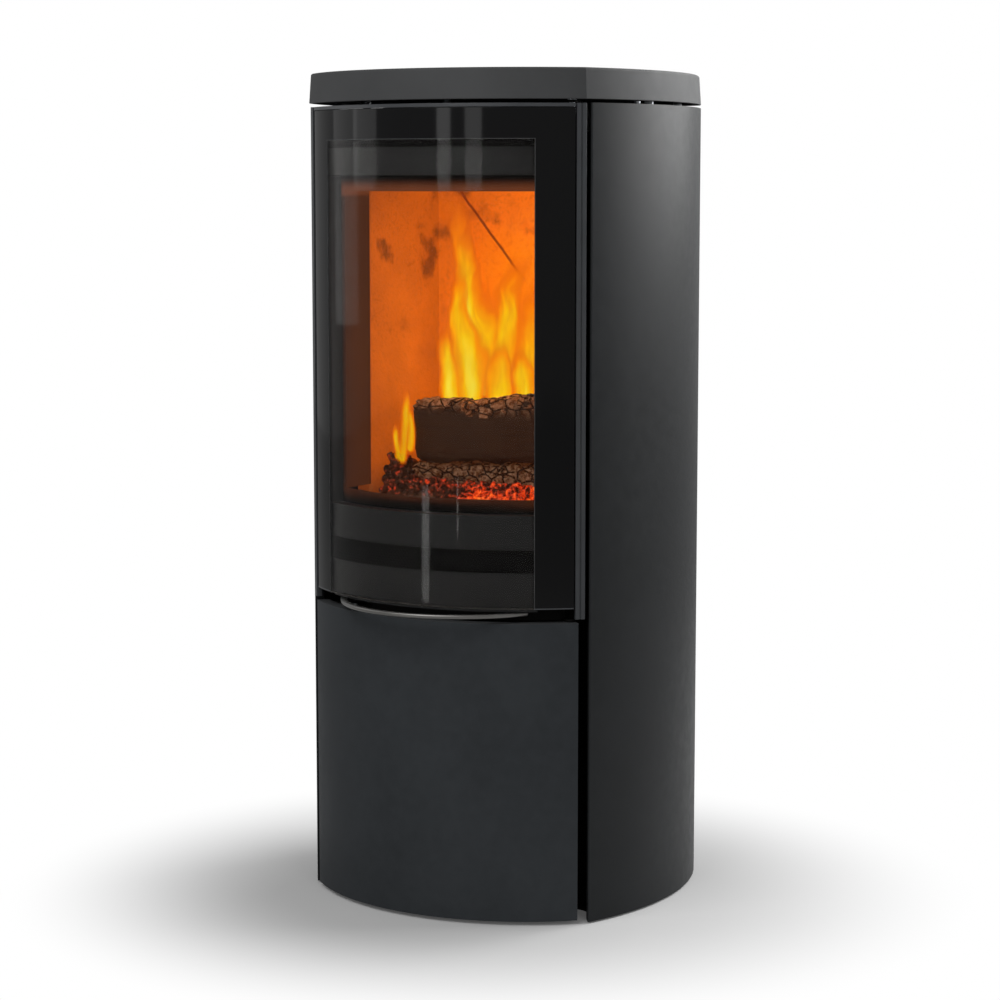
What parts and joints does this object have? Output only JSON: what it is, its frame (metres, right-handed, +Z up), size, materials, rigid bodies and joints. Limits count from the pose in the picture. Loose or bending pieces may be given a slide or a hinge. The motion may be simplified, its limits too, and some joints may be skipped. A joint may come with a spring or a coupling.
{
  "type": "wood stove",
  "caption": "Free-standing convection wood stove with a bowed glass door over a bowed steel door, curved side panels, thick top plate, lined firebox, rear flue collar and a slim bow handle.",
  "frame": {"origin": "on the floor, under the middle of the overall box", "axes": "+Z up, -Y out of the bowed front towards the person who uses it, +X to the right of someone facing the stove, the side of the door hinges"},
  "size_m": [0.4958, 0.503, 1.12],
  "materials": {
    "casing_paint": "matt charcoal stove paint on steel sheet",
    "top_plate_paint": "matt charcoal stove paint on a cast plate",
    "door_frame_paint": "black heat-proof paint",
    "edge_strip": "satin dark grey paint on a drawn profile",
    "inner_steel": "black heat-proof paint, sooted by use",
    "cast_iron": "raw casting, heat-stained",
    "vermiculite": "pressed insulating board, glowing in the firelight",
    "fibre_rope": "braided glass-fibre sealing rope",
    "handle_steel": "brushed stainless steel",
    "zinc": "zinc-plated steel fittings",
    "stove_glass": "ceramic glass with a black printed border"
  },
  "bodies": {
    "stove_body": {"base_plate": "inner_steel", "levelling_foot_1": "zinc", "levelling_foot_2": "zinc", "levelling_foot_3": "zinc", "levelling_foot_4": "zinc", "storage_cabinet": "inner_steel", "air_box": "inner_steel", "air_spigot": "zinc", "firebox_shell": "inner_steel", "firebox_front": "inner_steel", "flue_box": "inner_steel", "flue_collar": "cast_iron", "liner_right": "vermiculite", "liner_left": "vermiculite", "liner_back": "vermiculite", "hearth_brick_left": "vermiculite", "hearth_brick_right": "vermiculite", "hearth_shelf": "inner_steel", "grate_ring": "cast_iron", "log_guard": "cast_iron", "air_wash_channel": "inner_steel", "baffle_board": "vermiculite", "smoke_deflector": "inner_steel", "ash_shelf": "inner_steel", "hinge_bracket_bottom": "inner_steel", "hinge_bracket_middle": "inner_steel", "hinge_bracket_top": "inner_steel", "catch_bracket": "zinc", "lower_magnet": "zinc", "side_panel_right": "casing_paint", "side_panel_left": "casing_paint", "side_bracket_right": "inner_steel", "side_bracket_left": "inner_steel", "back_panel": "casing_paint", "top_plate": "top_plate_paint", "top_spacer_1": "zinc", "top_spacer_2": "zinc", "top_spacer_3": "zinc", "top_spacer_4": "zinc"},
    "glass_door": {"door_frame": "door_frame_paint", "door_glass": "stove_glass", "glass_tape": "fibre_rope", "door_rope": "fibre_rope", "edge_strip_right": "edge_strip", "edge_strip_left": "edge_strip", "edge_strip_top": "edge_strip", "handle_bracket": "door_frame_paint", "door_handle": "handle_steel", "catch_striker": "zinc", "hinge_pin_top": "zinc"},
    "lower_door": {"lower_door": "casing_paint"},
    "air_slide": {"air_slide": "inner_steel", "air_lever_knob": "zinc"},
    "ash_pan": {"ash_pan": "inner_steel"},
    "grate_disc": {"grate_disc": "cast_iron"},
    "catch_arm": {"catch_arm": "zinc"},
    "catch_roller": {"catch_roller": "zinc"}
  },
  "joints": [
    {"name": "glass_door_hinge", "type": "hinge", "parent": "stove_body", "child": "glass_door", "pos_m": [0.19, -0.1265, 0.74], "axis": [0, 0, 1], "range_deg": [0, 100]},
    {"name": "lower_door_hinge", "type": "hinge", "parent": "stove_body", "child": "lower_door", "pos_m": [0.19, -0.1265, 0.2], "axis": [0, 0, 1], "range_deg": [0, 100]},
    {"name": "air_lever_slide", "type": "slide", "parent": "stove_body", "child": "air_slide", "axis": [1, 0, 0], "range_m": [-0.02, 0.02]},
    {"name": "ash_pan_slide", "type": "slide", "parent": "stove_body", "child": "ash_pan", "axis": [0, -1, 0], "range_m": [0, 0.02]},
    {"name": "grate_turn", "type": "hinge", "parent": "stove_body", "child": "grate_disc", "pos_m": [0, -0.0255, 0.513], "axis": [0, 0, 1], "range_deg": [-30, 30]},
    {"name": "catch_arm_swing", "type": "hinge", "parent": "stove_body", "child": "catch_arm", "pos_m": [-0.197, -0.06349, 0.7], "axis": [0, 0, 1], "range_deg": [-8, 0], "stiffness_Nm_per_rad": 1.5, "springref_deg": 8.59},
    {"name": "catch_roller_spin", "type": "hinge", "parent": "catch_arm", "child": "catch_roller", "pos_m": [-0.197, -0.10049, 0.7], "axis": [0, 0, 1], "continuous": true}
  ]
}
